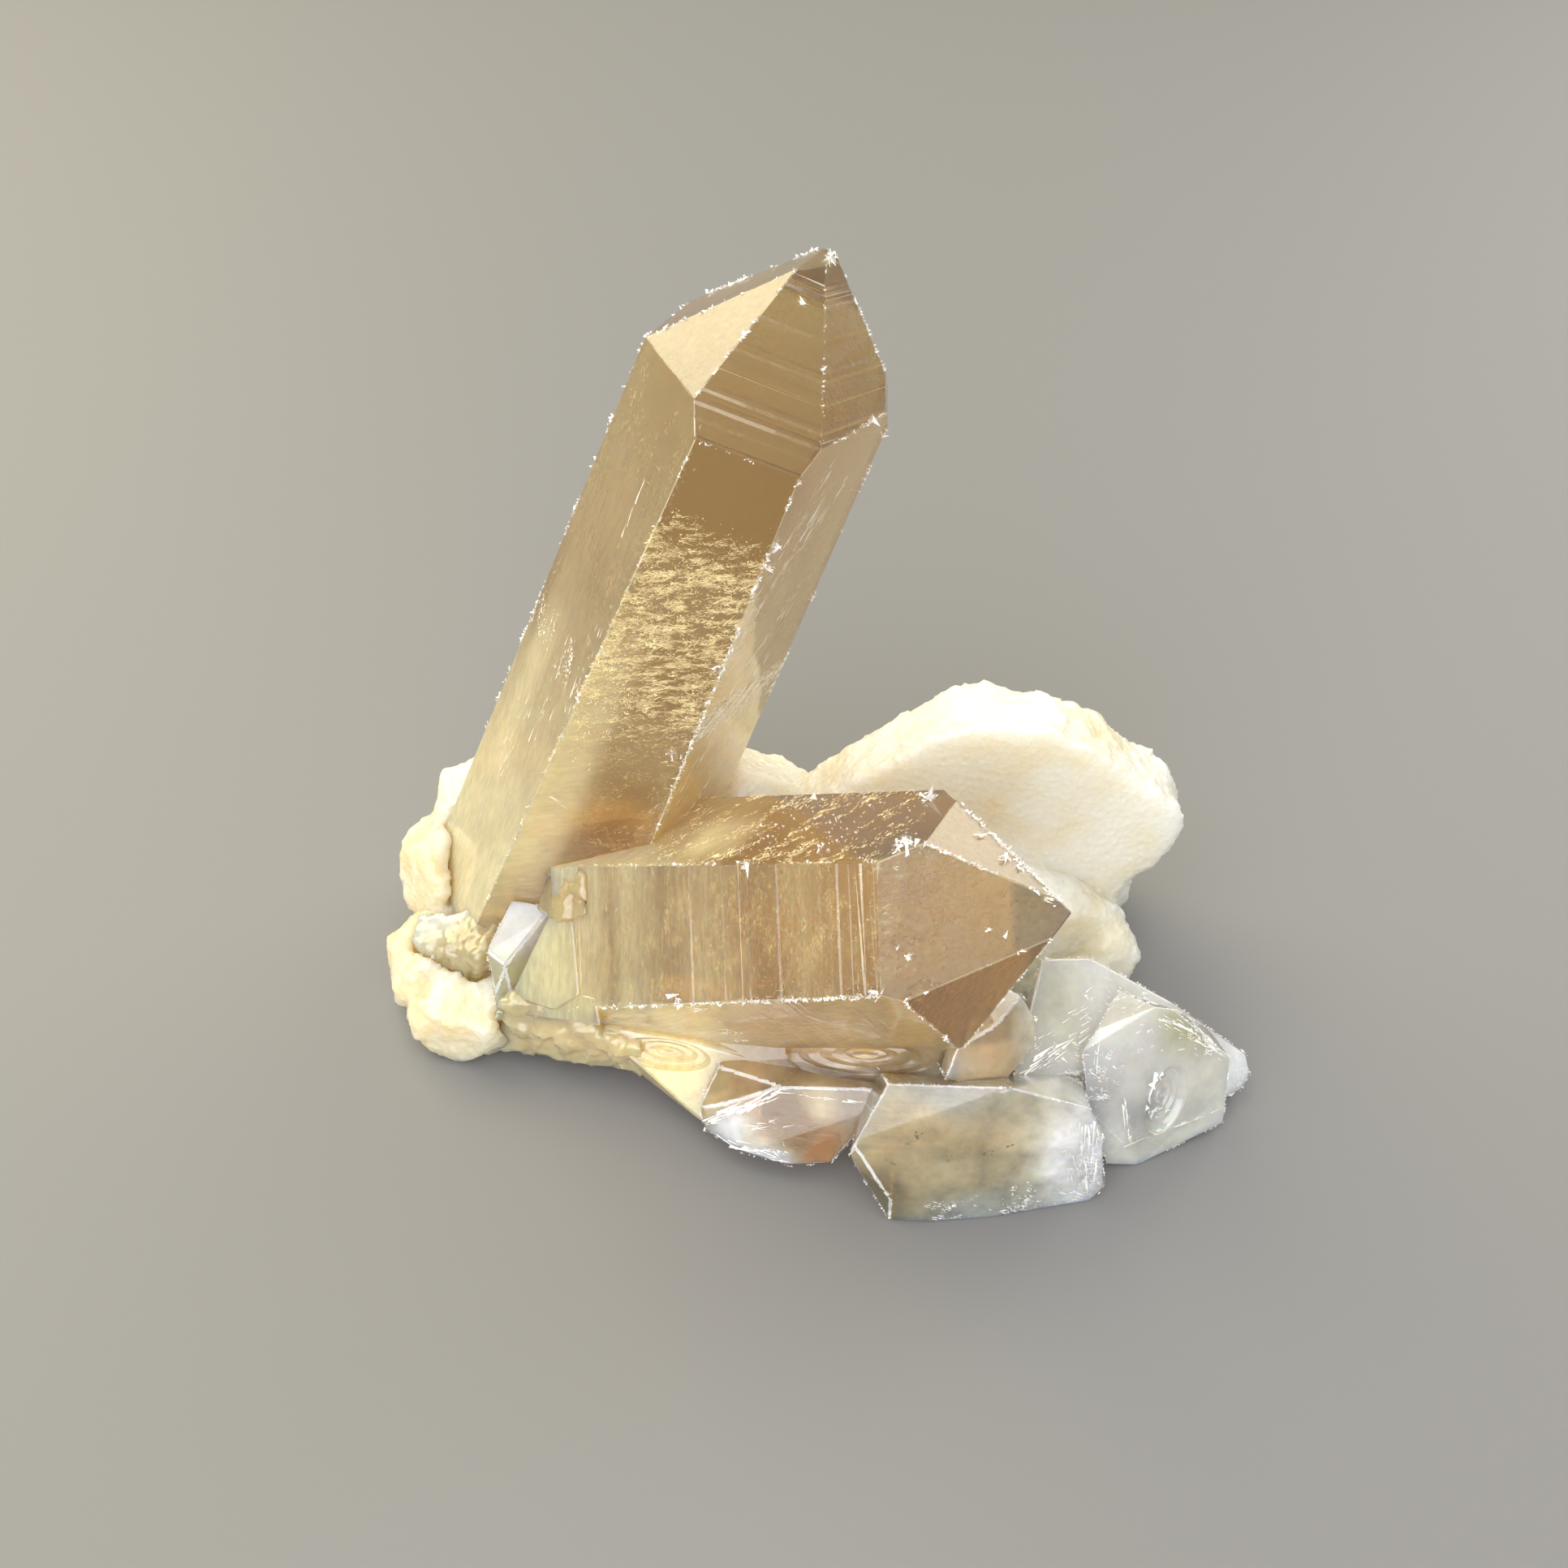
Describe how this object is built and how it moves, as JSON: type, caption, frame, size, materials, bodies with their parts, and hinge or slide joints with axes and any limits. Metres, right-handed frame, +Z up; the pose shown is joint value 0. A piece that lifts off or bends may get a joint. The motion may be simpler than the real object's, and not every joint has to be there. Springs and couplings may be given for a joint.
{
  "type": "smoky quartz crystal cluster",
  "caption": "Smoky quartz cluster: a tall point and a lying point in a V, with small clear crystals at their foot, on milky quartz matrix.",
  "frame": {"origin": "on the table, under the middle of the specimen's box", "axes": "+Z up from the broken base, +X to the right along the lying point, -Y to the front side with the small clear crystals"},
  "size_m": [0.0798, 0.0474, 0.0687],
  "materials": {
    "smoky_quartz": "clear honey-brown quartz with flat glossy faces, pale at the small crystals, with fine veils inside",
    "milky_quartz": "cream-white translucent milky quartz, smooth on its front face and rough and sparkling on its broken rim"
  },
  "bodies": {
    "root": {"smoky_crystals": "smoky_quartz", "milky_matrix": "milky_quartz"}
  },
  "joints": []
}
